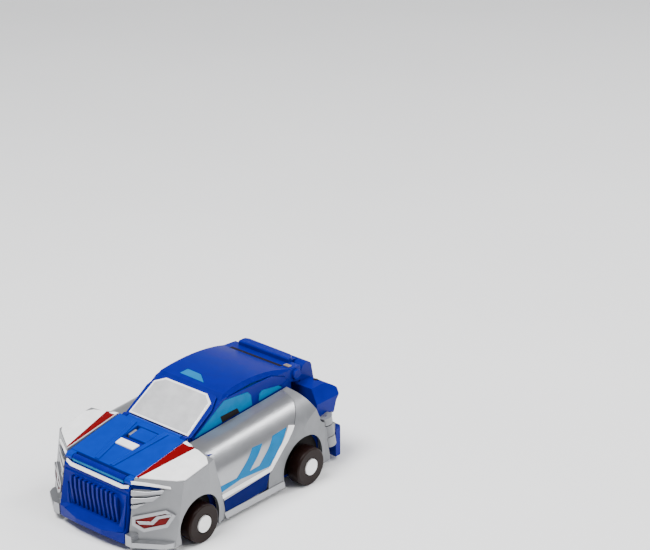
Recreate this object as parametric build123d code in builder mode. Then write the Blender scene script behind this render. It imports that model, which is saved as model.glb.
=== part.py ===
from build123d import *
from math import cos, radians, sin
import os

# Transforming robot car: a toy car whose parts fold out into a dragon.
# Millimetres. Front of the car is -Y, its left side is +X, the floor is z = 0.
os.makedirs("parts", exist_ok=True)

# ---- driving dimensions ----------------------------------------------------
half_length = 49.2
wall = 1.4
gap = 0.35
pin_play = 0.05

tyre_radius = 6.8
tyre_inner_x = 25.4
tyre_outer_x = 30.8
hub_face_x = 31.0
hub_radius = 2.9
axle_radius = 1.5
front_axle_y = -26.1
rear_axle_y = 26.7
front_arch_radius = 9.6
rear_arch_radius = 10.3

liner_inner_x = 22.8
liner_outer_x = 24.3
sill_z = 2.4

bonnet_half_width = 15.4
bonnet_pivot = (-17.2, 28.2)
grille_pivot = (-42.7, 23.3)
small_knuckle = 1.2
small_pin = 0.6

neck_half_width = 15.4
neck_pivot = (42.6, 33.4)
neck_knuckle = 2.7
neck_pin_radius = 1.2

head_half_width = 11.0
head_pivot = (-12.0, 21.6)
horn_pivot = (8.4, -19.0)
jaw_pivot = (-18.6, 15.6)

leg_inner_x = 13.7
leg_outer_x = 21.3
hip = (28.0, 12.0)
ankle = (-9.0, 9.5)

hinge_x = 25.0
hinge_y = 42.0
hinge_z = 12.0
hinge_tilt = 12.0
hinge_radius = 2.4
hinge_pin = 0.8

deck_z = 18.4


def save(part, name):
    """Label one finished node and write its STEP file."""
    part.label = name
    export_step(part, f"parts/{name}.step")


def save_pair(part, name):
    """Write a left-hand node and its mirror image on the right."""
    save(part, f"{name}_left")
    save(mirror(part, about=Plane.YZ), f"{name}_right")


def side_plane(x):
    """A plane facing +X whose sketch axes are Y and Z."""
    return Plane(origin=(x, 0, 0), x_dir=(0, 1, 0), z_dir=(1, 0, 0))


def rod(y, z, radius, x_low, x_high):
    """A round rod along X."""
    length = x_high - x_low
    place = Location((x_low + length / 2, y, z), (0, 90, 0))
    return place * Cylinder(radius, length, mode=Mode.PRIVATE)


def slab(x_low, x_high, y_low, y_high, z_low, z_high):
    """A plain block given by its limits."""
    middle = ((x_low + x_high) / 2, (y_low + y_high) / 2, (z_low + z_high) / 2)
    size = (x_high - x_low, y_high - y_low, z_high - z_low)
    return Location(middle) * Box(*size, mode=Mode.PRIVATE)


# ---- shared cutting planes of a side panel (left side, +X) -------------------
top_slope_y = 0.18
top_slope_x = -0.15
nose_lean = 8.0
nose_dir = Vector(13.0, 8.7, 0).normalized()
nose_normal = Vector(
    nose_dir.Y * cos(radians(nose_lean)),
    -nose_dir.X * cos(radians(nose_lean)),
    sin(radians(nose_lean)),
)
nose_point = Vector(22.1, -41.25, 8.0)


def fender_top_plane(drop=0.0):
    """The sloping top of the front wing, lowered by a wall when hollowing."""
    return Plane(origin=(16.0, -18.0, 29.4 - drop), z_dir=(-top_slope_x, -top_slope_y, 1.0))


def nose_plane(inset=0.0):
    """The slanted face that carries the headlamp."""
    return Plane(origin=nose_point - nose_normal * inset, x_dir=nose_dir, z_dir=nose_normal)


def fender_seam(shift=0.0):
    """The leaning seam between the front wing and the door."""
    return Plane(origin=(0, -19.6 + shift, 28.8), z_dir=(0, 26.4, 8.0))


def door_seam(shift=0.0):
    """The leaning seam between the door and the rear quarter."""
    return Plane(origin=(0, 11.2 + shift, 12.0), z_dir=(0, 12.8, -11.3))


hinge_line = Plane(
    origin=(hinge_x, hinge_y, hinge_z),
    x_dir=(1, 0, 0),
    z_dir=(0, -sin(radians(hinge_tilt)), cos(radians(hinge_tilt))),
)


def on_hinge(radius, low, high):
    """A round piece on the wing's hinge line, between two heights along it."""
    place = hinge_line.location * Location((0, 0, (low + high) / 2))
    return place * Cylinder(radius, high - low, mode=Mode.PRIVATE)


# ---- front wing -------------------------------------------------------------
fender_outline = [
    (15.8, -47.0),
    (29.0, -38.0),
    (29.4, -33.0),
    (29.4, -21.8),
    (28.2, -15.5),
    (26.6, -11.0),
    (15.8, -11.0),
]
fender_cavity = [
    (10.0, -50.0),
    (27.7, -38.0),
    (28.0, -33.0),
    (28.0, -22.0),
    (26.8, -15.8),
    (25.3, -9.0),
    (10.0, -9.0),
]

with BuildPart() as fender_hollow:
    with BuildSketch(Plane.XY.offset(0)):
        with BuildLine():
            Polyline(fender_cavity, close=True)
        make_face()
    extrude(amount=35)
    split(bisect_by=fender_top_plane(wall), keep=Keep.BOTTOM)
    split(bisect_by=nose_plane(wall), keep=Keep.BOTTOM)

with BuildPart() as fender:
    with BuildSketch(Plane.XY.offset(sill_z)):
        with BuildLine():
            Polyline(fender_outline, close=True)
        make_face()
    extrude(amount=32)
    split(bisect_by=fender_top_plane(), keep=Keep.BOTTOM)
    split(bisect_by=nose_plane(), keep=Keep.BOTTOM)
    split(bisect_by=fender_seam(), keep=Keep.BOTTOM)
    add(fender_hollow.part, mode=Mode.SUBTRACT)
    add(rod(front_axle_y, 7.0, front_arch_radius, liner_outer_x, 40), mode=Mode.SUBTRACT)
    add(slab(20, 40, front_axle_y - 9.2, front_axle_y + 9.2, 0, 7.0), mode=Mode.SUBTRACT)
save_pair(fender.part, "fender")


# ---- door and rear quarter share one rounded section --------------------------
def side_section(belt_z):
    """Closed outline of the bulged side skin in X and Z, for a given belt height."""
    with BuildLine() as outline:
        Line((16.2, belt_z), (19.6, belt_z - 0.5))
        ThreePointArc((19.6, belt_z - 0.5), (25.8, belt_z - 4.0), (28.0, 18.0))
        Line((28.0, 18.0), (27.0, sill_z))
        Line((27.0, sill_z), (25.6, sill_z))
        Line((25.6, sill_z), (26.6, 18.0))
        ThreePointArc((26.6, 18.0), (24.8, belt_z - 5.0), (19.6, belt_z - 1.9))
        Line((19.6, belt_z - 1.9), (16.2, belt_z - 1.4))
        Line((16.2, belt_z - 1.4), (16.2, belt_z))
    return outline.line


belt_front = (-22.0, 27.8)
belt_rear = (46.0, 32.4)
with BuildPart() as side_skin:
    for y, z in (belt_front, belt_rear):
        with BuildSketch(Plane(origin=(0, y, 0), x_dir=(1, 0, 0), z_dir=(0, -1, 0))):
            add(side_section(z))
            make_face()
    loft(ruled=True)

with BuildPart() as door:
    add(side_skin.part)
    split(bisect_by=fender_seam(0.4), keep=Keep.TOP)
    split(bisect_by=door_seam(-0.2), keep=Keep.BOTTOM)
    add(rod(rear_axle_y, 7.2, rear_arch_radius, liner_outer_x, 40), mode=Mode.SUBTRACT)
save_pair(door.part, "door")

quarter_profile = [
    (9.0, 0.0),
    (9.0, 36.0),
    (28.2, 36.0),
    (34.8, 22.5),
    (38.2, 18.0),
    (43.2, 16.2),
    (45.0, 12.8),
    (44.4, 1.6),
    (30.0, 1.6),
]
with BuildPart() as quarter:
    add(side_skin.part)
    split(bisect_by=door_seam(0.2), keep=Keep.TOP)
    with BuildSketch(side_plane(10)):
        with BuildLine():
            Polyline(quarter_profile, close=True)
        make_face()
    extrude(amount=25, mode=Mode.INTERSECT)
    split(bisect_by=Plane(origin=(27.6, 31, 0), z_dir=(14.5, 1.9, 0)), keep=Keep.BOTTOM)
    add(slab(24.0, 26.6, 37.4, 44.0, sill_z, 16.0))
    add(rod(rear_axle_y, 7.2, rear_arch_radius, liner_outer_x, 40), mode=Mode.SUBTRACT)
    add(on_hinge(hinge_radius + 0.4, -13, -0.2), mode=Mode.SUBTRACT)
    add(on_hinge(hinge_radius + 0.4, 4.6, 14), mode=Mode.SUBTRACT)
    for low, high in ((-13, -0.2), (4.6, 14)):
        place = hinge_line.location * Location((0, 5, (low + high) / 2))
        add(place * Box(12, 10, high - low, mode=Mode.PRIVATE), mode=Mode.SUBTRACT)
    add(on_hinge(hinge_radius, 0.0, 4.4))
    add(on_hinge(hinge_pin + pin_play, -1, 6), mode=Mode.SUBTRACT)
save_pair(quarter.part, "quarter")

# ---- inner frame plate of a wing ---------------------------------------------
liner_outline = [
    (-36.0, 4.0),
    (-36.0, 20.0),
    (-33.0, 24.6),
    (-20.0, 27.0),
    (-14.0, 25.6),
    (26.0, 26.6),
    (30.0, 23.0),
    (37.0, 16.6),
    (39.2, 14.0),
    (39.2, 4.0),
    (30.0, 3.0),
]
with BuildPart() as wing_liner:
    with BuildSketch(side_plane(liner_inner_x)):
        with BuildLine():
            Polyline(liner_outline, close=True)
        make_face()
    extrude(amount=liner_outer_x - liner_inner_x)
    # cross ribs that carry the outer skins
    for y, z_low, z_high in ((-14.5, 4.0, 8.0), (2.0, 4.0, 24.0), (12.0, 4.0, 9.0), (33.8, 14.8, 19.5)):
        add(slab(liner_outer_x, 26.9, y - 0.7, y + 0.7, z_low, z_high))
    add(slab(liner_outer_x, 28.5, -38.0, -36.8, 8.0, 20.0))
    add(slab(liner_outer_x, 28.5, -24.0, -22.8, 17.6, 26.0))
    for panel in (fender, door, quarter):
        add(panel.part, mode=Mode.SUBTRACT)
    add(on_hinge(hinge_radius + 0.4, -13, -0.2), mode=Mode.SUBTRACT)
    # window through the plate, left open for the wing's see-through lattice
    with BuildSketch(side_plane(liner_inner_x - 1)):
        with BuildLine():
            Polyline([(-10, 12), (-10, 22), (-1, 22), (-1, 12)], close=True)
        make_face()
        with BuildLine():
            Polyline([(5, 13), (5, 22), (20, 22), (12, 13)], close=True)
        make_face()
    extrude(amount=2.5, mode=Mode.SUBTRACT)
    for y in (front_axle_y, rear_axle_y):
        add(rod(y, tyre_radius, axle_radius, 20, 26), mode=Mode.SUBTRACT)
wing_liner_body = wing_liner.part.solids().sort_by(SortBy.VOLUME)[-1]
save_pair(wing_liner_body, "wing_liner")

# ---- headlamp, nose corner and sill -------------------------------------------
lamp_outline = [(-6.6, 12.2), (4.6, 15.2), (7.8, 13.6), (5.2, 9.4), (-2.8, 7.2), (-6.6, 9.4)]
lamp_rise = Vector(0, 0, 8.0)
with BuildPart() as headlamp_bezel:
    with BuildSketch(nose_plane()) as lamp_sketch:
        with BuildLine():
            Polyline([(u, v - 8.0) for u, v in lamp_outline], close=True)
        make_face()
    extrude(amount=1.0)
    with BuildSketch(nose_plane(-1.0)):
        offset(lamp_sketch.sketch_local, amount=-1.1)
    extrude(amount=-1.0, mode=Mode.SUBTRACT)
save_pair(headlamp_bezel.part, "headlamp_bezel")

with BuildPart() as headlamp_lens:
    with BuildSketch(nose_plane()):
        offset(lamp_sketch.sketch_local, amount=-1.1)
    extrude(amount=0.6)
save_pair(headlamp_lens.part, "headlamp_lens")

with BuildPart() as nose_corner:
    with BuildSketch(Plane.XY.offset(sill_z)):
        with BuildLine():
            Polyline([(15.7, -47.5), (18.3, -47.5), (27.6, -41.0), (28.8, -38.6), (28.4, -36.0), (15.7, -44.0)], close=True)
        make_face()
    extrude(amount=1.8)
    with BuildSketch(Plane.XY.offset(sill_z)):
        with BuildLine():
            Polyline([(15.7, -47.5), (18.4, -47.5), (18.4, -44.0), (15.7, -44.0)], close=True)
        make_face()
    extrude(amount=4.0)
    split(bisect_by=nose_plane(), keep=Keep.TOP)
save_pair(nose_corner.part, "nose_corner")

with BuildPart() as side_blade:
    with BuildSketch(Plane.XZ.offset(13.5)):
        with BuildLine():
            Polyline([(24.3, 1.4), (27.3, 1.4), (27.9, 2.2), (27.4, 4.2), (27.12, 4.2), (27.0, 2.4), (24.3, 2.4)],
                     close=True)
        make_face()
    extrude(amount=-30.0)
    split(bisect_by=Plane(origin=(0, -12.6, 2.4), z_dir=(0, 26.4, 8.0)), keep=Keep.TOP)
    for panel in (fender, door, quarter):
        add(panel.part, mode=Mode.SUBTRACT)
    add(wing_liner_body, mode=Mode.SUBTRACT)
    add(rod(rear_axle_y, 7.2, rear_arch_radius + 0.2, liner_outer_x, 40), mode=Mode.SUBTRACT)
save_pair(side_blade.part.solids().sort_by(SortBy.VOLUME)[-1], "side_blade")

# ---- wheels and their axle pins -------------------------------------------------
with BuildPart() as wheel:
    add(rod(0, 0, tyre_radius, tyre_inner_x, tyre_outer_x))
    fillet(wheel.edges().filter_by(GeomType.CIRCLE), 0.7)
    add(rod(0, 0, axle_radius + pin_play, tyre_inner_x - 1, tyre_outer_x + 1), mode=Mode.SUBTRACT)
    add(rod(0, 0, hub_radius + 0.4, tyre_outer_x - 1.1, tyre_outer_x + 1), mode=Mode.SUBTRACT)

with BuildPart() as axle_pin:
    add(rod(0, 0, axle_radius, liner_inner_x - 0.5, hub_face_x - 0.5))
    add(rod(0, 0, hub_radius, hub_face_x - 1.0, hub_face_x))
    add(rod(0, 0, axle_radius + 0.7, liner_outer_x, liner_outer_x + 0.7))

for place, y in (("front", front_axle_y), ("rear", rear_axle_y)):
    save_pair(Location((0, y, tyre_radius)) * wheel.part, f"wheel_{place}")
    save_pair(Location((0, y, tyre_radius)) * axle_pin.part, f"axle_pin_{place}")

# ---- neck: roof, windscreen, glass ------------------------------------------------
roof_lower = [
    (32.4, 37.0),
    (41.0, 36.2),
    (42.6, 36.0),
    (42.6, 31.0),
    (37.0, 31.0),
    (33.0, 32.0),
    (30.0, 35.4),
    (24.0, 37.6),
    (14.0, 38.2),
    (2.0, 37.6),
    (-1.2, 37.4),
    (0.6, 38.9),
]
with BuildPart() as roof:
    with BuildSketch(side_plane(-neck_half_width)):
        with BuildLine():
            Polyline(roof_lower)
            ThreePointArc(roof_lower[-1], (15.0, 40.0), roof_lower[0])
        make_face()
    extrude(amount=2 * neck_half_width)
    # sides of the roof slope inward toward the top
    for side in (-1, 1):
        split(
            bisect_by=Plane(origin=(side * 15.4, 0, 36.6), z_dir=(side * 3.0, 0, 1.1)),
            keep=Keep.BOTTOM,
        )
    add(rod(neck_pivot[0], neck_pivot[1], neck_knuckle, -10, 10))
    for side in (-1, 1):
        x_low, x_high = sorted((side * 10.0, side * 20.0))
        add(slab(x_low, x_high, 38.6, 50, 30, 40), mode=Mode.SUBTRACT)
    # windscreen pillars and the rail under the side windows
    for side in (-1, 1):
        x_low, x_high = sorted((side * 13.0, side * 15.4))
        with BuildSketch(side_plane(x_low)):
            with BuildLine():
                Polyline([(-15.2, 28.0), (-1.0, 37.5), (2.6, 38.2), (0.2, 36.6), (-13.2, 28.0)], close=True)
            make_face()
        extrude(amount=2.4)
        with BuildSketch(side_plane(x_low)):
            with BuildLine():
                Polyline([(-15.2, 27.4), (-15.2, 28.6), (28.0, 31.6), (33.6, 34.0), (33.6, 29.6)], close=True)
            make_face()
        extrude(amount=2.4)
    # lugs for the bonnet pin
    for side in (-1, 1):
        x_low, x_high = sorted((side * 12.8, side * 14.8))
        with BuildSketch(side_plane(x_low)):
            with BuildLine():
                Polyline([(-17.2, 27.3), (-17.2, 29.1), (-14.6, 29.0), (-12.0, 28.8), (-12.0, 27.6)], close=True)
            make_face()
            with Locations(bonnet_pivot):
                Circle(small_knuckle)
        extrude(amount=2.0)
    add(rod(bonnet_pivot[0], bonnet_pivot[1], small_pin, -16, 16), mode=Mode.SUBTRACT)
    add(rod(neck_pivot[0], neck_pivot[1], neck_pin_radius + pin_play, -11, 11), mode=Mode.SUBTRACT)
    add(rod(neck_pivot[0], neck_pivot[1], 2.1, -4, 4), mode=Mode.SUBTRACT)
save(roof.part, "roof")

with BuildPart() as windscreen:
    with BuildSketch(side_plane(-13.0)):
        with BuildLine():
            Polyline([(-15.4, 29.0), (-1.2, 38.2), (-0.4, 37.4), (-14.4, 28.4)], close=True)
        make_face()
    extrude(amount=26)
    for side in (-1, 1):
        split(
            bisect_by=Plane(origin=(side * 12.8, -4.4, 0), z_dir=(side * 3.0, 3.4, 0)),
            keep=Keep.BOTTOM,
        )
    add(roof.part, mode=Mode.SUBTRACT)
save(windscreen.part, "windscreen")

with BuildPart() as side_glass:
    with BuildSketch(side_plane(13.4)):
        with BuildLine():
            Polyline([(-13.4, 28.6), (-1.0, 36.9), (24.0, 37.4), (30.0, 34.8), (32.0, 32.4), (31.0, 31.4)], close=True)
        make_face()
    extrude(amount=1.2)
    add(roof.part, mode=Mode.SUBTRACT)
side_glass_body = side_glass.part.solids().sort_by(SortBy.VOLUME)[-1]
save_pair(side_glass_body, "side_glass")

# scaled underside of the neck, with lugs that hold the head
belly_steps = 8
belly_pitch = 4.6
with BuildPart() as neck_belly:
    add(slab(-12.6, 12.6, -9.0, 33.0, 27.6, 31.4))
    for i in range(belly_steps):
        y = -8.0 + i * belly_pitch
        add(slab(-10.6, 10.6, y, y + belly_pitch - 1.0, 26.6, 27.6))
    for side in (-1, 1):
        x_low, x_high = sorted((side * 7.6, side * 9.6))
        with BuildSketch(side_plane(x_low)):
            with BuildLine():
                Polyline([(-14.2, 21.6), (-13.2, 27.6), (-8.0, 27.6), (-9.8, 21.6)], close=True)
            make_face()
            with Locations(head_pivot):
                Circle(2.2)
        extrude(amount=2.0)
        x_low, x_high = sorted((side * 12.6, side * 13.0))
        add(slab(x_low, x_high, -9.0, 33.0, 29.6, 31.0))
    add(slab(-12.6, 12.6, 29.0, 36.6, 31.4, 32.4))
    add(rod(head_pivot[0], head_pivot[1], 1.0, -12, 12), mode=Mode.SUBTRACT)
    add(roof.part, mode=Mode.SUBTRACT)
save(neck_belly.part.solids().sort_by(SortBy.VOLUME)[-1], "neck_belly")

# ---- bonnet -------------------------------------------------------------------
bonnet_profile = [
    (-41.1, 24.73),
    (-18.6, 29.25),
    (-18.6, 27.6),
    (-41.1, 23.08),
]
with BuildPart() as bonnet:
    with BuildSketch(side_plane(-bonnet_half_width)):
        with BuildLine():
            Polyline(bonnet_profile, close=True)
        make_face()
    extrude(amount=2 * bonnet_half_width)
    # lugs for the grille pin at the front corners
    for side in (-1, 1):
        x_low, x_high = sorted((side * 12.4, side * 15.4))
        with BuildSketch(side_plane(x_low)):
            with BuildLine():
                Polyline([(-42.7, 22.3), (-42.7, 24.3), (-41.0, 24.6), (-40.0, 23.6), (-41.0, 22.5)], close=True)
            make_face()
            with Locations(grille_pivot):
                Circle(small_knuckle)
        extrude(amount=3.0)
    # rear knuckle
    with BuildSketch(side_plane(-12.4)):
        with BuildLine():
            Polyline([(-17.2, 27.3), (-17.2, 29.2), (-19.0, 29.0), (-19.0, 27.7)], close=True)
        make_face()
        with Locations(bonnet_pivot):
            Circle(small_knuckle)
    extrude(amount=24.8)
    add(rod(grille_pivot[0], grille_pivot[1], small_pin, -16, 16), mode=Mode.SUBTRACT)
    add(rod(bonnet_pivot[0], bonnet_pivot[1], small_pin + pin_play, -16, 16), mode=Mode.SUBTRACT)
    add(slab(-5.0, 5.0, -31.0, -20.4, 20, 32), mode=Mode.SUBTRACT)
    for side in (-1, 1):
        x_low, x_high = sorted((side * 12.4, side * 15.4))
        add(rod(bonnet_pivot[0], bonnet_pivot[1], small_knuckle + 0.4, x_low, x_high), mode=Mode.SUBTRACT)
save(bonnet.part, "bonnet")

with BuildPart() as bonnet_vent:
    with BuildSketch(side_plane(-5.0)):
        with BuildLine():
            Polyline([(-31.0, 25.0), (-31.0, 26.4), (-27.0, 27.4), (-26.6, 26.2), (-20.4, 27.4), (-20.4, 26.2),
                      (-27.0, 24.9)], close=True)
        make_face()
    extrude(amount=10)
    add(rod(-23.4, 26.6, 1.0, -3.4, 3.4))
save(bonnet_vent.part, "bonnet_vent")

# ---- grille -------------------------------------------------------------------
grille_hexagon = [(-10.2, 18.6), (10.2, 18.6), (13.4, 14.6), (11.6, 7.6), (-11.6, 7.6), (-13.4, 14.6)]
grille_profile = [
    (-43.4, 22.4),
    (-44.6, 20.6),
    (-46.4, 7.6),
    (-47.6, 6.6),
    (-half_length, 5.4),
    (-half_length, 3.6),
    (-47.8, 2.7),
    (-45.0, 2.7),
    (-43.0, 20.0),
    (-42.0, 22.0),
]
with BuildPart() as grille:
    with BuildSketch(side_plane(-15.2)):
        with BuildLine():
            Polyline(grille_profile, close=True)
        make_face()
        with Locations(grille_pivot):
            Circle(small_knuckle)
    extrude(amount=30.4)
    for side in (-1, 1):
        split(
            bisect_by=Plane(origin=(side * 6.0, -half_length, 0), z_dir=(side * 1.7, -9.2, 0)),
            keep=Keep.BOTTOM,
        )
        x_low, x_high = sorted((side * 12.05, side * 16.0))
        add(rod(grille_pivot[0], grille_pivot[1], small_knuckle + 0.4, x_low, x_high), mode=Mode.SUBTRACT)
    with BuildSketch(Plane.XZ.offset(49.5)):
        with BuildLine():
            Polyline(grille_hexagon, close=True)
        make_face()
    extrude(amount=-4.6, mode=Mode.SUBTRACT)
    add(rod(grille_pivot[0], grille_pivot[1], small_pin + pin_play, -13, 13), mode=Mode.SUBTRACT)
save(grille.part.solids().sort_by(SortBy.VOLUME)[-1], "grille")

with BuildPart() as grille_ribs:
    for i in range(11):
        x = (i - 5) * 2.1
        add(slab(x - 0.45, x + 0.45, -46.6, -44.0, 7.6, 18.6))
    with BuildSketch(Plane.XZ.offset(49.5)):
        with BuildLine():
            Polyline(grille_hexagon, close=True)
        make_face()
    extrude(amount=-8, mode=Mode.INTERSECT)
    add(slab(-10.5, 10.5, -45.4, -44.6, 13.2, 13.9))
    split(bisect_by=Plane(origin=(0, -45.6, 8.0), z_dir=(0, -12.6, -1.8)), keep=Keep.BOTTOM)
    add(grille.part, mode=Mode.SUBTRACT)
save(grille_ribs.part, "grille_ribs")

# ---- head ---------------------------------------------------------------------
head_profile = [
    (-40.6, 15.8),
    (-41.0, 19.4),
    (-39.6, 21.8),
    (-30.0, 23.6),
    (-22.0, 24.4),
    (-12.0, 24.2),
    (-12.0, 19.0),
    (-16.0, 17.6),
    (-18.6, 17.4),
    (-22.0, 15.8),
]
with BuildPart() as head_upper:
    with BuildSketch(side_plane(-head_half_width)):
        with BuildLine():
            Polyline(head_profile, close=True)
        make_face()
        with Locations(head_pivot):
            Circle(2.6)
    extrude(amount=2 * head_half_width)
    for side in (-1, 1):
        # muzzle narrows forward, rear narrows to fit between the neck's lugs
        split(
            bisect_by=Plane(origin=(side * 5.6, -41.0, 0), z_dir=(side * 14.0, -4.0, 0)),
            keep=Keep.BOTTOM,
        )
        x_low, x_high = sorted((side * 7.25, side * 14.0))
        add(slab(x_low, x_high, -17.0, -8.0, 15, 27), mode=Mode.SUBTRACT)
        x_low, x_high = sorted((side * 6.2, side * 14.0))
        add(slab(x_low, x_high, -37.0, -16.9, 18.2, 25), mode=Mode.SUBTRACT)
        add(Location((side * horn_pivot[0], horn_pivot[1], 18.0)) * Cylinder(0.6, 6.4, mode=Mode.PRIVATE))
    add(rod(head_pivot[0], head_pivot[1], 1.0 + pin_play, -12, 12), mode=Mode.SUBTRACT)
    add(rod(jaw_pivot[0], jaw_pivot[1], 2.1, -3.4, 3.4), mode=Mode.SUBTRACT)
    add(rod(jaw_pivot[0], jaw_pivot[1], 2.1, -12, -5.4), mode=Mode.SUBTRACT)
    add(rod(jaw_pivot[0], jaw_pivot[1], 2.1, 5.4, 12), mode=Mode.SUBTRACT)
    for side in (-1, 1):
        x_low, x_high = sorted((side * 3.4, side * 5.4))
        add(rod(jaw_pivot[0], jaw_pivot[1], 1.7, x_low, x_high))
    add(rod(jaw_pivot[0], jaw_pivot[1], 0.7, -5.4, 5.4))
save(head_upper.part, "head_upper")

with BuildPart() as upper_teeth:
    for i in range(4):
        for side in (-1, 1):
            with Locations((side * (3.6 + 0.55 * i), -38.6 + 3.2 * i, 15.1)):
                Cone(0.25, 0.75, 1.4)
save(upper_teeth.part, "upper_teeth")

with BuildPart() as jaw:
    with BuildSketch(side_plane(-7.0)):
        with BuildLine():
            Polyline([(-40.0, 12.6), (-39.6, 14.0), (-20.6, 14.0), (-16.8, 14.6), (-17.0, 12.4), (-22.0, 11.6)],
                     close=True)
        make_face()
    extrude(amount=14)
    for side in (-1, 1):
        split(
            bisect_by=Plane(origin=(side * 3.6, -41.0, 0), z_dir=(side * 14.0, -2.6, 0)),
            keep=Keep.BOTTOM,
        )
    add(rod(jaw_pivot[0], jaw_pivot[1], 1.7, -3.0, 3.0))
    add(slab(-3.0, 3.0, -20.0, -17.2, 13.6, 15.6))
    for side in (-1, 1):
        x_low, x_high = sorted((side * 3.0, side * 8.0))
        add(rod(jaw_pivot[0], jaw_pivot[1], 2.1, x_low, x_high), mode=Mode.SUBTRACT)
    add(rod(jaw_pivot[0], jaw_pivot[1], 0.7 + pin_play, -12, 12), mode=Mode.SUBTRACT)
save(jaw.part.solids().sort_by(SortBy.VOLUME)[-1], "jaw")

with BuildPart() as horn:
    with BuildSketch(Plane.XY.offset(18.6)):
        with BuildLine():
            Polyline([(6.9, -19.0), (9.9, -19.0), (10.0, -25.0), (8.0, -32.0), (7.0, -25.0)], close=True)
        make_face()
        with Locations(horn_pivot):
            Circle(1.5)
    extrude(amount=2.6)
    chamfer(horn.edges().filter_by(GeomType.LINE).group_by(Axis.Z)[-1], 0.5)
    with Locations((horn_pivot[0], horn_pivot[1], 19.0)):
        Cylinder(0.6 + pin_play, 8, mode=Mode.SUBTRACT)
save_pair(horn.part, "horn")

# ---- legs ---------------------------------------------------------------------
with BuildPart() as leg_upper:
    with BuildSketch(side_plane(leg_inner_x)):
        with BuildLine():
            Polyline([(28.0, 7.6), (28.0, 16.4), (20.0, 15.4), (2.0, 14.2), (0.0, 12.6), (0.0, 6.0), (20.0, 6.4)],
                     close=True)
        make_face()
        with Locations(hip):
            Circle(4.4)
    extrude(amount=leg_outer_x - leg_inner_x)
    add(slab(leg_inner_x + 1.3, leg_outer_x - 1.3, -2, 18.5, 7.4, 12.8), mode=Mode.SUBTRACT)
    add(rod(hip[0], hip[1], 1.5 + pin_play, 10, 24), mode=Mode.SUBTRACT)
save_pair(leg_upper.part, "leg_upper")

with BuildPart() as leg_lower:
    add(slab(leg_inner_x + 1.6, leg_outer_x - 1.6, -8.8, 17.0, 7.7, 12.5))
    add(slab(leg_inner_x + 0.4, leg_outer_x - 0.4, -6.4, -0.4, 6.6, 13.4))
    add(rod(ankle[0], ankle[1], 1.8, leg_inner_x + 1.6, leg_outer_x - 1.6))
    add(rod(ankle[0], ankle[1], 0.8, leg_inner_x, leg_outer_x))
save_pair(leg_lower.part, "leg_lower")

with BuildPart() as foot:
    for x_low, x_high in ((leg_inner_x, leg_inner_x + 1.2), (leg_outer_x - 1.2, leg_outer_x)):
        add(rod(ankle[0], ankle[1], 1.9, x_low, x_high))
        with BuildSketch(side_plane(x_low)):
            with BuildLine():
                Polyline([(-9.0, 7.6), (-9.0, 11.4), (-11.6, 12.2), (-11.6, 6.8)], close=True)
            make_face()
        extrude(amount=1.2)
    add(slab(leg_inner_x, leg_outer_x, -13.8, -11.3, 6.6, 14.0))
    for i in range(3):
        x = leg_inner_x + 1.25 + i * 2.55
        with BuildSketch(side_plane(x - 0.9)):
            with BuildLine():
                Polyline([(-13.8, 14.0), (-13.8, 9.6), (-16.0, 12.0), (-17.0, 15.6)], close=True)
            make_face()
        extrude(amount=1.8)
    add(rod(ankle[0], ankle[1], 0.8 + pin_play, 12, 24), mode=Mode.SUBTRACT)
save_pair(foot.part, "foot")

# ---- chassis ------------------------------------------------------------------
core_half = 13.1
with BuildPart() as screws:
    for x in (-10.0, 10.0):
        for y in (23.0, 42.0):
            with Locations((x, y, 2.9)):
                Cylinder(1.6, 1.0)
            with Locations((x, y, 5.4)):
                Cylinder(0.8, 4.0)
save(screws.part, "screws")

with BuildPart() as core_drum:
    add(rod(hip[0], 13.6, 8.6, -core_half, core_half))
    add(slab(-core_half, core_half, 28.0, 45.2, 5.0, deck_z))
    add(slab(-5.2, 5.2, 36.5, 46.0, 10.8, deck_z + 1), mode=Mode.SUBTRACT)
    add(rod(hip[0], hip[1], 1.5, -14, 14), mode=Mode.SUBTRACT)
    add(screws.part, mode=Mode.SUBTRACT)
save(core_drum.part, "core_drum")

with BuildPart() as base_plate:
    add(slab(-core_half, core_half, 18.0, 45.2, 2.4, 5.0))
    add(core_drum.part, mode=Mode.SUBTRACT)
    add(screws.part, mode=Mode.SUBTRACT)
save(base_plate.part, "base_plate")

deck_profile = [
    (37.4, deck_z),
    (37.4, 29.6),
    (44.6, 29.6),
    (48.0, 27.6),
    (half_length, 26.6),
    (half_length, 24.6),
    (47.6, 22.4),
    (46.4, deck_z),
]
with BuildPart() as rear_deck:
    with BuildSketch(side_plane(-24.0)):
        with BuildLine():
            Polyline(deck_profile, close=True)
        make_face()
    extrude(amount=48)
    for side in (-1, 1):
        split(
            bisect_by=Plane(origin=(side * 22.4, 0, 27.6), z_dir=(side * 5.0, 0, 2.4)),
            keep=Keep.BOTTOM,
        )
    add(slab(-21.6, 21.6, 39.0, 45.6, deck_z, 27.6), mode=Mode.SUBTRACT)
    # cradle for the neck's hinge bar
    add(rod(neck_pivot[0], neck_pivot[1], neck_knuckle + 0.5, -10.4, 10.4), mode=Mode.SUBTRACT)
    add(slab(-10.4, 10.4, 36, 46.2, 29.0, 36), mode=Mode.SUBTRACT)
    for side in (-1, 1):
        x_low, x_high = sorted((side * 10.4, side * 14.6))
        with BuildSketch(side_plane(x_low)):
            with BuildLine():
                Polyline([(39.9, 33.4), (39.2, 29.6), (46.4, 28.4), (45.3, 33.4)], close=True)
            make_face()
            with Locations(neck_pivot):
                Circle(neck_knuckle)
        extrude(amount=4.2)
        # screw pockets in the sloping rear
        add(Location((side * 18.0, 45.0, 28.0)) * Cylinder(1.3, 5, mode=Mode.PRIVATE), mode=Mode.SUBTRACT)
    add(rod(neck_pivot[0], neck_pivot[1], neck_pin_radius, -13.4, 13.4), mode=Mode.SUBTRACT)
    add(slab(-3.2, 3.2, 36, 42.0, deck_z - 1, 36), mode=Mode.SUBTRACT)
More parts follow.
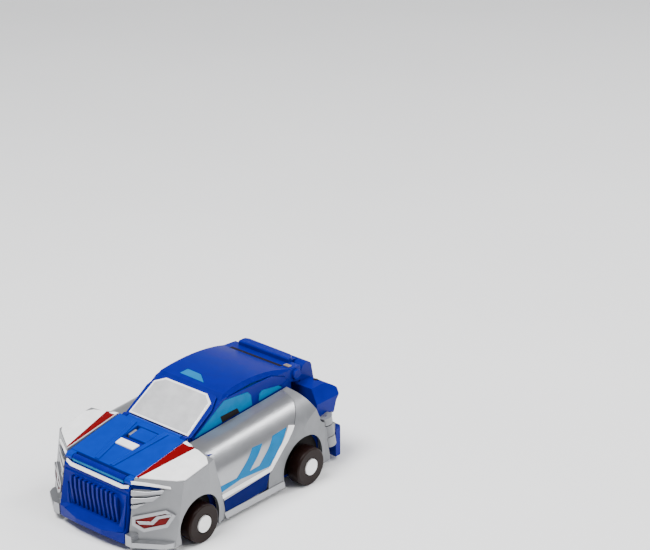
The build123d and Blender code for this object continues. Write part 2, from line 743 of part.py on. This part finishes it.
save(rear_deck.part, "rear_deck")

def magnet(side):
    """A coupling magnet sealed behind the rear face."""
    place = Location((side * 9.0, half_length - 1.3, 7.0), (90, 0, 0))
    return place * Cylinder(3.0, 1.6, mode=Mode.PRIVATE)


with BuildPart() as rear_bumper:
    add(slab(-25.6, 25.6, 45.6, half_length, 1.6, 12.4))
    chamfer(rear_bumper.edges().filter_by(Axis.Z).sort_by(Axis.Y)[-2:], 1.2)
    add(slab(-core_half, core_half, 45.2, 45.6, 2.4, 12.4))
    for side in (-1, 1):
        add(magnet(side), mode=Mode.SUBTRACT)
save(rear_bumper.part, "rear_bumper")

with BuildPart() as magnets:
    for side in (-1, 1):
        add(magnet(side))
save(magnets.part, "magnets")

# hinge blocks that hold the folding side panels
with BuildPart() as hinge_block:
    add(on_hinge(hinge_radius, -4.4, -0.4))
    add(on_hinge(hinge_radius, 4.8, 7.6))
    add(slab(19.0, 24.2, 42.4, 45.6, 8.2, 10.6))
    add(slab(core_half, 20.0, 43.0, 45.6, 5.4, 12.0))
    add(slab(19.0, 24.4, 41.6, 45.0, 17.2, 19.0))
    add(on_hinge(hinge_pin, -5, 8), mode=Mode.SUBTRACT)
    add(rear_deck.part, mode=Mode.SUBTRACT)
    add(rear_bumper.part, mode=Mode.SUBTRACT)

with BuildPart() as hinge_blocks:
    add(hinge_block.part)
    add(mirror(hinge_block.part, about=Plane.YZ, mode=Mode.PRIVATE))
save(hinge_blocks.part, "hinge_blocks")

with BuildPart() as wing_hinge_pins:
    for side in (1, -1):
        pin = on_hinge(hinge_pin, -4.4, 7.6)
        add(pin if side > 0 else mirror(pin, about=Plane.YZ, mode=Mode.PRIVATE))
save(wing_hinge_pins.part, "wing_hinge_pins")

with BuildPart() as neck_hinge_pin:
    add(rod(neck_pivot[0], neck_pivot[1], neck_pin_radius, -13.4, 13.4))
save(neck_hinge_pin.part, "neck_hinge_pin")

with BuildPart() as neck_spring:
    for i in range(6):
        x = (i - 2.5) * 1.2
        coil = Torus(1.65, 0.3, mode=Mode.PRIVATE)
        add(Location((x, neck_pivot[0], neck_pivot[1]), (0, 90, 0)) * coil)
save(neck_spring.part, "neck_spring")

with BuildPart() as hip_pin:
    add(rod(hip[0], hip[1], 1.5, -leg_outer_x, leg_outer_x))
save(hip_pin.part, "hip_pin")

with BuildPart() as bonnet_pin:
    add(rod(bonnet_pivot[0], bonnet_pivot[1], small_pin, -14.8, 14.8))
save(bonnet_pin.part, "bonnet_pin")

with BuildPart() as grille_pin:
    add(rod(grille_pivot[0], grille_pivot[1], small_pin, -15.2, 15.2))
save(grille_pin.part, "grille_pin")

with BuildPart() as head_pin:
    add(rod(head_pivot[0], head_pivot[1], 1.0, -9.6, 9.6))
save(head_pin.part, "head_pin")

# release button and the hook that it draws back
with BuildPart() as release_button:
    add(slab(-4.6, 4.6, 46.0, 49.0, 13.4, 17.6))
    add(slab(-2.6, 2.6, 39.4, 46.0, 14.4, 16.8))
save(release_button.part, "release_button")

with BuildPart() as latch:
    add(slab(-2.4, 2.4, 39.4, 41.0, 16.8, 28.0))
    add(slab(-2.4, 2.4, 36.6, 41.0, 28.0, 28.8))
save(latch.part, "latch")
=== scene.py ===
"""Looks of the transforming car: materials, livery, small raised pieces, stage and camera.

Outlines and heights are in millimetres. Places of lamps, floor and camera are in metres.
"""
from math import cos, radians, sin

import bmesh
import bpy
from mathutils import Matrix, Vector
from mathutils.bvhtree import BVHTree


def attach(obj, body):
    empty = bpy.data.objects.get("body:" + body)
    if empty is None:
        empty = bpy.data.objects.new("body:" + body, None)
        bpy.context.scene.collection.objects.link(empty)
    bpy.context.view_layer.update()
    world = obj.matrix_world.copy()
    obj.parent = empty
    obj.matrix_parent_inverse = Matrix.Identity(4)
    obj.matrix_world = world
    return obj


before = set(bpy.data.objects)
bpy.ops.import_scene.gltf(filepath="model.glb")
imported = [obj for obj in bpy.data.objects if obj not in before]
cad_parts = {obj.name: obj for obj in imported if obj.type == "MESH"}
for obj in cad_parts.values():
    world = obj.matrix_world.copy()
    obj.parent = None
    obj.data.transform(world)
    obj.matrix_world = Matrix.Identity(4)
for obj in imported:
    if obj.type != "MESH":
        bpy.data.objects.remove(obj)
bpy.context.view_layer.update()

MM = 0.001
SIDES = (("left", 1), ("right", -1))

# ---- materials ---------------------------------------------------------------
MOTTLE_SCALE = 260.0
GRAIN_RATIO = 14
GRAIN_DEPTH = 0.1 * MM
COAT_ROUGHNESS = 0.12


def plastic(name, color, rough, metallic=0.0, coat=0.0, mottle=0.06, grain=0.02, scale=MOTTLE_SCALE,
            gloss_level=0.3):
    """Moulded toy plastic: faint colour mottling, uneven gloss and a fine moulded grain."""
    mat = bpy.data.materials.new(name)
    mat.use_nodes = True
    tree = mat.node_tree
    nodes, links = tree.nodes, tree.links
    shader = nodes["Principled BSDF"]
    shader.inputs["Metallic"].default_value = metallic
    shader.inputs["Specular IOR Level"].default_value = gloss_level
    shader.inputs["Coat Weight"].default_value = coat
    shader.inputs["Coat Roughness"].default_value = COAT_ROUGHNESS
    coords = nodes.new("ShaderNodeTexCoord")

    # broad noise: colour and gloss
    cloud = nodes.new("ShaderNodeTexNoise")
    cloud.inputs["Scale"].default_value = scale
    cloud.inputs["Detail"].default_value = 4.0
    links.new(coords.outputs["Object"], cloud.inputs["Vector"])
    ramp = nodes.new("ShaderNodeValToRGB")
    ramp.color_ramp.elements[0].position = 0.35
    ramp.color_ramp.elements[1].position = 0.65
    ramp.color_ramp.elements[0].color = (*[max(0.0, c * (1 - mottle)) for c in color], 1)
    ramp.color_ramp.elements[1].color = (*[min(1.0, c * (1 + mottle)) for c in color], 1)
    links.new(cloud.outputs["Fac"], ramp.inputs["Fac"])
    links.new(ramp.outputs["Color"], shader.inputs["Base Color"])
    gloss = nodes.new("ShaderNodeMapRange")
    gloss.inputs["To Min"].default_value = rough * 0.85
    gloss.inputs["To Max"].default_value = rough * 1.15
    links.new(cloud.outputs["Fac"], gloss.inputs["Value"])
    links.new(gloss.outputs["Result"], shader.inputs["Roughness"])

    # fine noise: moulded grain
    fine = nodes.new("ShaderNodeTexNoise")
    fine.inputs["Scale"].default_value = scale * GRAIN_RATIO
    fine.inputs["Detail"].default_value = 2.0
    links.new(coords.outputs["Object"], fine.inputs["Vector"])
    bump = nodes.new("ShaderNodeBump")
    bump.inputs["Strength"].default_value = grain
    bump.inputs["Distance"].default_value = GRAIN_DEPTH
    links.new(fine.outputs["Fac"], bump.inputs["Height"])
    links.new(bump.outputs["Normal"], shader.inputs["Normal"])
    return mat


MATS = {
    "blue": plastic("deep_blue", (0.0, 0.005, 0.190), 0.36, gloss_level=0.12),
    "hood": plastic("bonnet_blue", (0.0, 0.026, 0.300), 0.36, gloss_level=0.12),
    "cyan": plastic("cyan_print", (0.0, 0.150, 0.360), 0.40, gloss_level=0.08),
    "navy": plastic("navy_print", (0.0, 0.004, 0.090), 0.50, gloss_level=0.04),
    "red": plastic("red_print", (0.150, 0.0, 0.002), 0.45, gloss_level=0.06),
    "lens": plastic("lamp_red", (0.17, 0.0, 0.001), 0.30, coat=0.1, gloss_level=0.1),
    "white": plastic("white_print", (0.96, 0.96, 0.96), 0.34, coat=0.1),
    "silver": plastic("silver_plastic", (0.25, 0.255, 0.265), 0.36, metallic=0.5, mottle=0.03, grain=0.01),
    "bright": plastic("bright_silver", (0.36, 0.365, 0.38), 0.30, metallic=0.85, mottle=0.02, grain=0.004),
    "grey": plastic("grey_plastic", (0.20, 0.205, 0.215), 0.38, metallic=0.35),
    "screen": plastic("windscreen_silver", (0.80, 0.80, 0.81), 0.32, metallic=0.6, coat=0.2),
    "tyre": plastic("tyre_plastic", (0.009, 0.003, 0.002), 0.40, grain=0.05, gloss_level=0.15),
    "dark": plastic("shadow_grey", (0.012, 0.010, 0.010), 0.6, gloss_level=0.1),
    "steel": plastic("pin_steel", (0.55, 0.52, 0.47), 0.28, metallic=0.9),
    "brown": plastic("pin_tan", (0.33, 0.27, 0.21), 0.35, metallic=0.5),
}

CAD_MATERIALS = {
    "blue": ["roof", "rear_deck", "rear_bumper", "grille", "grille_ribs", "core_drum", "head_upper", "jaw",
             "bonnet_vent", "base_plate"],
    "hood": ["bonnet"],
    "grey": ["latch"],
    "silver": ["release_button", "hinge_blocks"],
    "white": ["neck_belly", "upper_teeth"],
    "screen": ["windscreen"],
    "steel": ["magnets", "wing_hinge_pins", "neck_hinge_pin", "neck_spring", "hip_pin", "screws", "bonnet_pin",
              "head_pin", "grille_pin"],
}
PAIRED_MATERIALS = {
    "silver": ["fender", "leg_upper", "foot", "horn"],
    "bright": ["door", "nose_corner", "side_blade", "headlamp_bezel"],
    "grey": ["quarter"],
    "blue": ["wing_liner"],
    "cyan": ["side_glass", "leg_lower"],
    "lens": ["headlamp_lens"],
    "white": ["axle_pin_front", "axle_pin_rear"],
    "tyre": ["wheel_front", "wheel_rear"],
}
CENTRE_EDGE = 0.2
PAIRED_EDGE = 0.22
SHARP_ANGLE = radians(32)
LEFT_SHARP = ("neck_spring", "screws")


def soften(obj, bevel):
    """Smooth shading between the sharp edges, which get rounded by bevel millimetres."""
    for polygon in obj.data.polygons:
        polygon.use_smooth = True
    obj.data.set_sharp_from_angle(angle=SHARP_ANGLE)
    if bevel:
        modifier = obj.modifiers.new("edge", "BEVEL")
        modifier.width = bevel * MM
        modifier.segments = 2
        modifier.limit_method = "ANGLE"
        modifier.angle_limit = SHARP_ANGLE
        modifier.harden_normals = True


def dress(node, key, bevel):
    """Gives a CAD node its material and a softened moulded edge."""
    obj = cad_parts[node]
    for slot in obj.material_slots:
        slot.material = MATS[key]
    soften(obj, bevel)


for key, names in CAD_MATERIALS.items():
    for name in names:
        dress(name, key, 0.0 if name in LEFT_SHARP else CENTRE_EDGE)
for key, names in PAIRED_MATERIALS.items():
    for name in names:
        for side, _ in SIDES:
            dress(f"{name}_{side}", key, PAIRED_EDGE)

# ---- how pieces are made -------------------------------------------------------
REACH = 40.0
FLAT = 60.0
CURVED = 0.9


def surface(names):
    """One search tree over the triangles of some nodes, at rest."""
    points, faces = [], []
    for name in names:
        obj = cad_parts[name]
        mesh = obj.data
        start = len(points)
        points += [obj.matrix_world @ v.co for v in mesh.vertices]
        faces += [[start + i for i in p.vertices] for p in mesh.polygons]
    return BVHTree.FromPolygons(points, faces)


def cut_in_grid(bm, outline, step):
    """Cuts a flat outline along both axes, so that it can bend with the surface under it."""
    for axis in (0, 1):
        low = min(p[axis] for p in outline)
        high = max(p[axis] for p in outline)
        cut = low + step
        while cut < high:
            at, way = Vector((0, 0, 0)), Vector((0, 0, 0))
            at[axis], way[axis] = cut, 1
            geometry = bm.verts[:] + bm.edges[:] + bm.faces[:]
            bmesh.ops.bisect_plane(bm, geom=geometry, dist=1e-6, plane_co=at, plane_no=way)
            cut += step
    bmesh.ops.remove_doubles(bm, verts=bm.verts[:], dist=1e-5)


def depths(bm, tree, origin, across, up, normal):
    """How far each vertex drops to the surface; one that misses it follows its neighbours."""
    depth = {}
    missed = []
    for v in bm.verts:
        start = (origin + across * v.co.x + up * v.co.y + normal * REACH) * MM
        hit, _, _, distance = tree.ray_cast(start, -normal, 2 * REACH * MM)
        if hit is None:
            missed.append(v)
        else:
            depth[v] = REACH - distance / MM
    while missed:
        found = []
        for v in missed:
            near = [depth[e.other_vert(v)] for e in v.link_edges if e.other_vert(v) in depth]
            if near:
                found.append((v, near))
        if not found:
            break
        for v, near in found:
            depth[v] = sum(near) / len(near)
        missed = [v for v in missed if v not in depth]
    return depth


def laid(outline, targets, origin, across, up, height, step, sink):
    """A thin plate of the given outline, projected onto the targets along the plane's normal.

    The outline lies on the plane of across and up at origin. The plate follows the surface
    under it, stands proud of it by height and reaches below it by sink.
    """
    across, up = Vector(across).normalized(), Vector(up).normalized()
    normal = across.cross(up)
    origin = Vector(origin)
    bm = bmesh.new()
    face = bm.faces.new([bm.verts.new((a, b, 0)) for a, b in outline])
    bmesh.ops.triangulate(bm, faces=[face])
    cut_in_grid(bm, outline, step)
    depth = depths(bm, surface(targets), origin, across, up, normal)
    for v in bm.verts:
        v.co = (origin + across * v.co.x + up * v.co.y + normal * depth.get(v, 0.0)) * MM
    bm.normal_update()
    flip = [f for f in bm.faces if f.normal.dot(normal) < 0]
    bmesh.ops.reverse_faces(bm, faces=flip)
    top = bmesh.ops.extrude_face_region(bm, geom=bm.faces[:])
    raised = [g for g in top["geom"] if isinstance(g, bmesh.types.BMVert)]
    for v in bm.verts:
        v.co -= normal * sink * MM
    for v in raised:
        v.co += normal * (height + sink) * MM
    bm.normal_update()
    return bm


def mirrored(bm):
    """The same mesh on the other side of the car."""
    other = bm.copy()
    for v in other.verts:
        v.co.x = -v.co.x
    bmesh.ops.reverse_faces(other, faces=other.faces[:])
    return other


def piece(bm, name, body, key, bevel):
    """Turns a bmesh into an object that rides on a body."""
    bmesh.ops.recalc_face_normals(bm, faces=bm.faces[:])
    mesh = bpy.data.meshes.new(name)
    bm.to_mesh(mesh)
    bm.free()
    mesh.materials.append(MATS[key])
    obj = bpy.data.objects.new(name, mesh)
    bpy.context.scene.collection.objects.link(obj)
    soften(obj, bevel)
    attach(obj, body)


def print_on(name, outline, targets, body, key, plane, height=0.05, bevel=0.0, sink=0.02, step=FLAT,
             twin=True):
    """A printed shape or raised plate on the left, and its twin on the right.

    Targets and body end in _left where each side has its own.
    """
    bm = laid(outline, targets, *plane, height=height, sink=sink, step=step)
    if twin:
        other = mirrored(bm)
        piece(bm, f"{name}_left", body, key, bevel)
        piece(other, f"{name}_right", body.replace("_left", "_right"), key, bevel)
    else:
        piece(bm, name, body, key, bevel)


def rod(name, start, end, radius, body, key, bevel):
    """A round bar between two points."""
    start, end = Vector(start), Vector(end)
    bm = bmesh.new()
    bmesh.ops.create_cone(bm, cap_ends=True, segments=32, radius1=radius * MM, radius2=radius * MM,
                          depth=(end - start).length * MM)
    turn = (end - start).to_track_quat("Z", "Y").to_matrix().to_4x4()
    bmesh.ops.transform(bm, matrix=turn, verts=bm.verts[:])
    bmesh.ops.translate(bm, vec=(start + end) / 2 * MM, verts=bm.verts[:])
    piece(bm, name, body, key, bevel)


def arc(centre, radius, first, last, step):
    """Points round a circle, from the first angle to before the last, in degrees."""
    return [(centre[0] + radius * cos(radians(a)), centre[1] + radius * sin(radians(a)))
            for a in range(first, last, step)]


# ---- planes that outlines are drawn on: origin, across, up -----------------------
TOP = ((0, 0, 30), (1, 0, 0), (0, 1, 0))
LEFT = ((28, 0, 0), (0, 1, 0), (0, 0, 1))
INNER = ((10, 0, 0), (0, -1, 0), (0, 0, 1))
FRONT = ((0, -46, 0), (1, 0, 0), (0, 0, 1))
FRONT_TILT = ((0, -44.0, 22.0), (1, 0, 0), (0, 0.2, 1))
SCREEN = ((0, -15.4, 29.0), (1, 0, 0), (0, 14.2, 9.2))
NOSE_LEAN = radians(8)
NOSE_ALONG = Vector((13.0, 8.7, 0)).normalized()
NOSE_UP = Vector((-NOSE_ALONG.y * sin(NOSE_LEAN), NOSE_ALONG.x * sin(NOSE_LEAN), cos(NOSE_LEAN)))
NOSE = (Vector((22.1, -41.25, 8.0)) - NOSE_UP * 8.0, NOSE_ALONG, NOSE_UP)

# ---- front wings: white top with a tapering red stripe ---------------------------
print_on("wing_top_white",
         [(16.0, -42.2), (20.8, -39.0), (24.4, -36.6), (27.2, -34.7), (29.0, -32.6), (29.0, -22.0),
          (26.6, -20.2), (21.5, -19.4), (16.0, -18.6)],
         ["fender_left"], "wing_left", "white", TOP, height=0.25, step=CURVED)
print_on("wing_top_red", [(16.1, -42.0), (16.9, -41.7), (20.8, -19.6), (16.1, -18.8)],
         ["fender_left"], "wing_left", "red", TOP, height=0.33, step=CURVED)

# ---- nose: white brow, navy slit, three tapering slats and the bar across the lamp ----
print_on("brow_white", [(-7.1, 24.3), (-2.4, 24.0), (6.0, 23.0), (6.2, 22.3), (-1.9, 22.9), (-7.1, 23.2)],
         ["fender_left"], "wing_left", "white", NOSE, height=0.5, bevel=0.15)
print_on("nose_slit", [(-7.0, 23.1), (-1.9, 22.8), (3.2, 22.3), (1.9, 21.5), (-7.0, 21.6)],
         ["fender_left"], "wing_left", "navy", NOSE, height=0.08)
SLATS = (
    [(-7.0, 21.3), (-1.9, 21.0), (4.1, 22.0), (3.3, 20.7), (-7.0, 19.3)],
    [(-7.0, 18.6), (-1.9, 18.9), (2.9, 20.0), (0.4, 18.0), (-7.0, 16.6)],
    [(-7.0, 15.9), (-2.3, 17.0), (-5.0, 15.1), (-7.0, 14.9)],
)
for index, outline in enumerate(SLATS):
    print_on(f"nose_slat_{index + 1}", outline,
             ["fender_left"], "wing_left", "bright", NOSE, height=0.9, bevel=0.25)
print_on("lamp_bar",
         [(-5.2, 10.9), (-0.5, 10.9), (1.5, 12.9), (6.4, 14.1), (6.4, 13.2), (2.3, 12.0), (0.4, 9.9),
          (-4.2, 9.8)],
         ["headlamp_lens_left", "headlamp_bezel_left"], "wing_left", "bright", NOSE, height=0.4, bevel=0.12)

# ---- painted shade: dark plates on the liners where shade falls in the wheel wells ---
for place, radius, y in (("front", 9.4, -26.1), ("rear", 10.1, 26.7)):
    # painted shade: a dark plate on the blue liner, standing for the shadow inside each wheel arch
    print_on(f"well_{place}", arc((y, 7.1), radius, -18, 200, 8),
             ["wing_liner_left"], "wing_left", "dark", LEFT, height=0.12, step=3.0)

# ---- doors: cyan bolt stripes, white rule, navy lower panel ------------------------
print_on("door_bolt",
         [(-14.9, 12.5), (-15.0, 15.1), (-7.3, 15.1), (1.0, 23.0), (5.7, 22.9), (-1.0, 15.2), (3.7, 15.4),
          (11.0, 23.6), (18.0, 24.2), (9.4, 12.9), (-5.3, 13.9)],
         ["door_left", "quarter_left"], "wing_left", "cyan", LEFT, step=CURVED)
print_on("door_rule", [(19.2, 24.5), (21.8, 23.7), (10.1, 10.8), (-13.8, 9.8), (-14.4, 11.5), (8.4, 12.5)],
         ["door_left", "quarter_left"], "wing_left", "white", LEFT, step=CURVED)
print_on("door_lower", [(-13.1, 8.8), (9.3, 10.6), (7.6, 4.6), (-12.3, 3.8)],
         ["door_left"], "wing_left", "navy", LEFT, step=CURVED)

# ---- bonnet: two ridges and the white plate ----------------------------------------
print_on("bonnet_ridge", [(2.6, -40.9), (4.4, -40.9), (8.4, -19.2), (6.4, -19.2)],
         ["bonnet"], "bonnet", "hood", TOP, height=0.4, bevel=0.18)
print_on("bonnet_plate", [(-4.7, -28.4), (3.9, -28.4), (3.9, -31.6), (-4.3, -31.6)],
         ["bonnet", "bonnet_vent"], "bonnet", "white", TOP, twin=False, height=0.5, bevel=0.12)

# ---- grille: strips across its top edge and a raised frame -------------------------
print_on("front_cyan", [(-12.0, 1.35), (12.0, 1.35), (12.0, 0.35), (-12.0, 0.35)],
         ["grille"], "grille", "cyan", FRONT_TILT, twin=False, height=0.25, bevel=0.1)
print_on("front_white",
         [(-14.6, 0.6), (-12.0, -0.2), (12.0, -0.2), (14.6, 0.6), (14.6, -0.5), (12.0, -1.3),
          (-12.0, -1.3), (-14.6, -0.5)],
         ["grille"], "grille", "white", FRONT_TILT, twin=False, height=0.5, bevel=0.15)
print_on("grille_frame",
         [(-14.6, 19.4), (14.6, 19.4), (14.9, 7.0), (12.2, 6.4), (11.2, 8.0), (13.2, 14.6), (10.0, 18.3),
          (-10.0, 18.3), (-13.2, 14.6), (-11.2, 8.0), (-12.2, 6.4), (-14.9, 7.0)],
         ["grille"], "grille", "blue", FRONT, twin=False, height=0.5, bevel=0.2)

# ---- windscreen: blue surround, white border, silver pane --------------------------
print_on("screen_surround",
         [(-15.2, -0.3), (-15.2, 11.6), (-13.4, 16.9), (13.4, 16.9), (15.2, 11.6), (15.2, -0.3)],
         ["windscreen"], "neck", "blue", SCREEN, twin=False, height=0.25, sink=0.2, bevel=0.15)
print_on("screen_border", [(-13.9, -0.2), (-13.3, 13.9), (-9.6, 16.5), (9.6, 16.5), (13.3, 13.9), (13.9, -0.2)],
         ["windscreen"], "neck", "white", SCREEN, twin=False, height=0.5, bevel=0.12)
print_on("screen_pane", [(-13.2, 0.5), (-12.6, 13.5), (-9.3, 15.8), (9.3, 15.8), (12.6, 13.5), (13.2, 0.5)],
         ["windscreen"], "neck", "screen", SCREEN, twin=False, height=0.6, bevel=0.1)

# ---- side windows: blue frame over the glass, two cyan panes and a notch of painted shade ---
GLASS = ["side_glass_left"]
print_on("window_frame",
         [(-0.6, 36.6), (11.9, 35.8), (13.6, 34.1), (14.2, 29.9), (17.0, 30.1), (17.3, 33.0), (18.7, 34.2),
          (27.4, 32.8), (29.7, 31.6), (33.0, 31.8), (32.0, 34.4), (24.0, 37.4), (2.0, 37.4)],
         GLASS, "neck", "blue", LEFT, height=0.7, bevel=0.1)
print_on("window_front", [(-14.2, 28.4), (0.0, 36.9), (11.7, 35.9), (13.3, 34.2), (13.9, 30.3)],
         GLASS, "neck", "cyan", LEFT, height=0.85)
print_on("window_rear", [(17.2, 30.5), (17.5, 33.0), (18.8, 34.0), (27.2, 32.7), (29.0, 31.5)],
         GLASS, "neck", "cyan", LEFT, height=0.85)
# painted shade: a dark plate over the pane where the notch opens into the shaded inside
print_on("window_notch_shade", [(-0.9, 29.2), (-1.8, 31.7), (6.4, 31.9), (7.6, 29.8)],
         GLASS, "neck", "dark", LEFT, height=0.9)

# ---- roof: slit of painted shade, tan pin, raised bar, cyan patch and corner bosses ---
# painted shade: a dark plate laid on the roof where the slit's shadow falls
print_on("roof_slit_shade", [(-12.3, 32.0), (11.6, 32.0), (11.6, 33.6), (-12.3, 33.6)],
         ["roof"], "neck", "dark", TOP, twin=False, step=CURVED)
print_on("roof_pin", [(11.9, 33.4), (14.4, 33.4), (14.4, 35.2), (11.9, 35.2)],
         ["roof"], "neck", "brown", TOP, height=0.6, bevel=0.2, twin=False)
print_on("roof_bar", [(-12.4, 36.6), (-12.4, 39.6), (-10.6, 40.8), (9.4, 40.8), (11.2, 38.6), (11.2, 36.6)],
         ["roof"], "neck", "blue", TOP, twin=False, height=1.7, bevel=0.6, sink=0.6)
print_on("roof_patch", [(-7.4, 2.6), (-6.9, 5.9), (-0.6, 5.7), (3.9, 2.4)],
         ["roof"], "neck", "cyan", TOP, twin=False, height=0.06, step=CURVED)
BOSS_Y, BOSS_Z, BOSS_RADIUS = 36.0, 34.0, 1.9
for side, sign in SIDES:
    rod(f"roof_boss_{side}", (sign * 12.6, BOSS_Y, BOSS_Z), (sign * 16.4, BOSS_Y, BOSS_Z), BOSS_RADIUS,
        "neck", "blue", bevel=0.25)

# ---- bonnet scoop: a flush tab beside a slot of painted shade with a small grey roller ---
print_on("scoop_tab", [(-3.2, -20.7), (4.8, -20.7), (4.8, -26.3), (-3.2, -26.3)],
         ["bonnet_vent"], "bonnet", "hood", TOP, twin=False, height=1.5, bevel=0.2)
# painted shade: a dark plate on the vent standing for the shadow inside the slot
print_on("scoop_slot_shade", [(-4.9, -20.6), (-3.4, -20.6), (-3.4, -26.4), (-4.9, -26.4)],
         ["bonnet_vent"], "bonnet", "dark", TOP, twin=False, height=0.1)
rod("scoop_roller", (-4.1, -25.4, 27.1), (-4.1, -22.0, 27.7), 0.65, "bonnet", "grey", bevel=0.1)

# ---- painted shade: dark disc by each screw pocket of the rear deck, for the hole's shadow ---
print_on("deck_hole_shade", arc((17.4, 44.2), 0.95, 0, 360, 20),
         ["rear_deck"], "chassis", "dark", TOP, height=0.06)

# ---- eyes on the head, ribs on the inner face of each wing --------------------------
print_on("eye", [(-36.6, 19.2), (-36.0, 20.8), (-31.4, 21.6), (-32.6, 19.8)],
         ["head_upper"], "head", "cyan", LEFT, height=0.12)
for index, foot in enumerate((-22.0, -28.0, 16.0, 22.0)):
    print_on(f"wing_rib_{index + 1}", [(foot, 6.0), (foot + 2.2, 6.0), (foot + 6.2, 20.0), (foot + 4.0, 20.0)],
             ["wing_liner_left"], "wing_left", "silver", INNER, height=0.3, bevel=0.1)

# ---- stage ------------------------------------------------------------------------
CAMERA_AZIMUTH = radians(41.07)
FLOOR_FLAT = 1.6
FLOOR_CURVE = 0.8
FLOOR_NEAR = 0.8
FLOOR_HALF_WIDTH = 3.0
FLOOR_DROP = 0.00002
FLAT_ROWS = 8
CURVE_ROWS = 16


def stage_floor():
    """A plain pale floor that curves up far behind the car."""
    bm = bmesh.new()
    rows = []
    for i in range(FLAT_ROWS + CURVE_ROWS + 1):
        turn = radians(max(0, i - FLAT_ROWS) * 90 / CURVE_ROWS)
        reach = FLOOR_FLAT * min(i, FLAT_ROWS) / FLAT_ROWS + FLOOR_CURVE * sin(turn)
        rise = FLOOR_CURVE * (1 - cos(turn))
        rows.append([bm.verts.new((x, reach - FLOOR_NEAR, rise - FLOOR_DROP))
                     for x in (-FLOOR_HALF_WIDTH, FLOOR_HALF_WIDTH)])
    for first, second in zip(rows, rows[1:]):
        bm.faces.new((first[0], first[1], second[1], second[0]))
    mesh = bpy.data.meshes.new("floor")
    bm.to_mesh(mesh)
    bm.free()
    mesh.materials.append(plastic("floor_paper", (0.94, 0.94, 0.94), 0.7, mottle=0.01, grain=0.0, scale=8.0))
    for polygon in mesh.polygons:
        polygon.use_smooth = True
    obj = bpy.data.objects.new("floor", mesh)
    bpy.context.scene.collection.objects.link(obj)
    obj.rotation_euler.z = CAMERA_AZIMUTH


def softbox(name, place, size, power, target=(0, 0, 0.015)):
    """An area lamp aimed at the car."""
    lamp = bpy.data.lights.new(name, "AREA")
    lamp.shape = "RECTANGLE"
    lamp.size, lamp.size_y = size
    lamp.energy = power
    obj = bpy.data.objects.new(name, lamp)
    obj.location = place
    obj.rotation_euler = (Vector(target) - Vector(place)).to_track_quat("-Z", "Y").to_euler()
    bpy.context.scene.collection.objects.link(obj)


stage_floor()
softbox("key", (-0.10, -0.30, 0.80), (0.35, 0.35), 11.0)
softbox("side", (0.62, 0.10, 0.62), (0.10, 0.9), 5.0)
softbox("back", (0.28, 0.62, 0.62), (0.12, 0.5), 4.0)
world = bpy.data.worlds.new("studio")
world.use_nodes = True
world.node_tree.nodes["Background"].inputs["Color"].default_value = (0.92, 0.94, 1.0, 1)
world.node_tree.nodes["Background"].inputs["Strength"].default_value = 0.32
bpy.context.scene.world = world

# ---- camera -----------------------------------------------------------------------
CAMERA_ELEVATION = radians(22.87)
CAMERA_PLACE = (0.4804, -0.4821, 0.3647)
LENS_MM = 123.4
SENSOR_MM = 36.0

back = Vector((sin(CAMERA_AZIMUTH) * cos(CAMERA_ELEVATION), -cos(CAMERA_AZIMUTH) * cos(CAMERA_ELEVATION),
               sin(CAMERA_ELEVATION)))
camera = bpy.data.cameras.new("camera")
camera.lens = LENS_MM
camera.sensor_width = SENSOR_MM
camera_object = bpy.data.objects.new("camera", camera)
camera_object.location = CAMERA_PLACE
camera_object.rotation_euler = (-back).to_track_quat("-Z", "Y").to_euler()
bpy.context.scene.collection.objects.link(camera_object)
bpy.context.scene.camera = camera_object
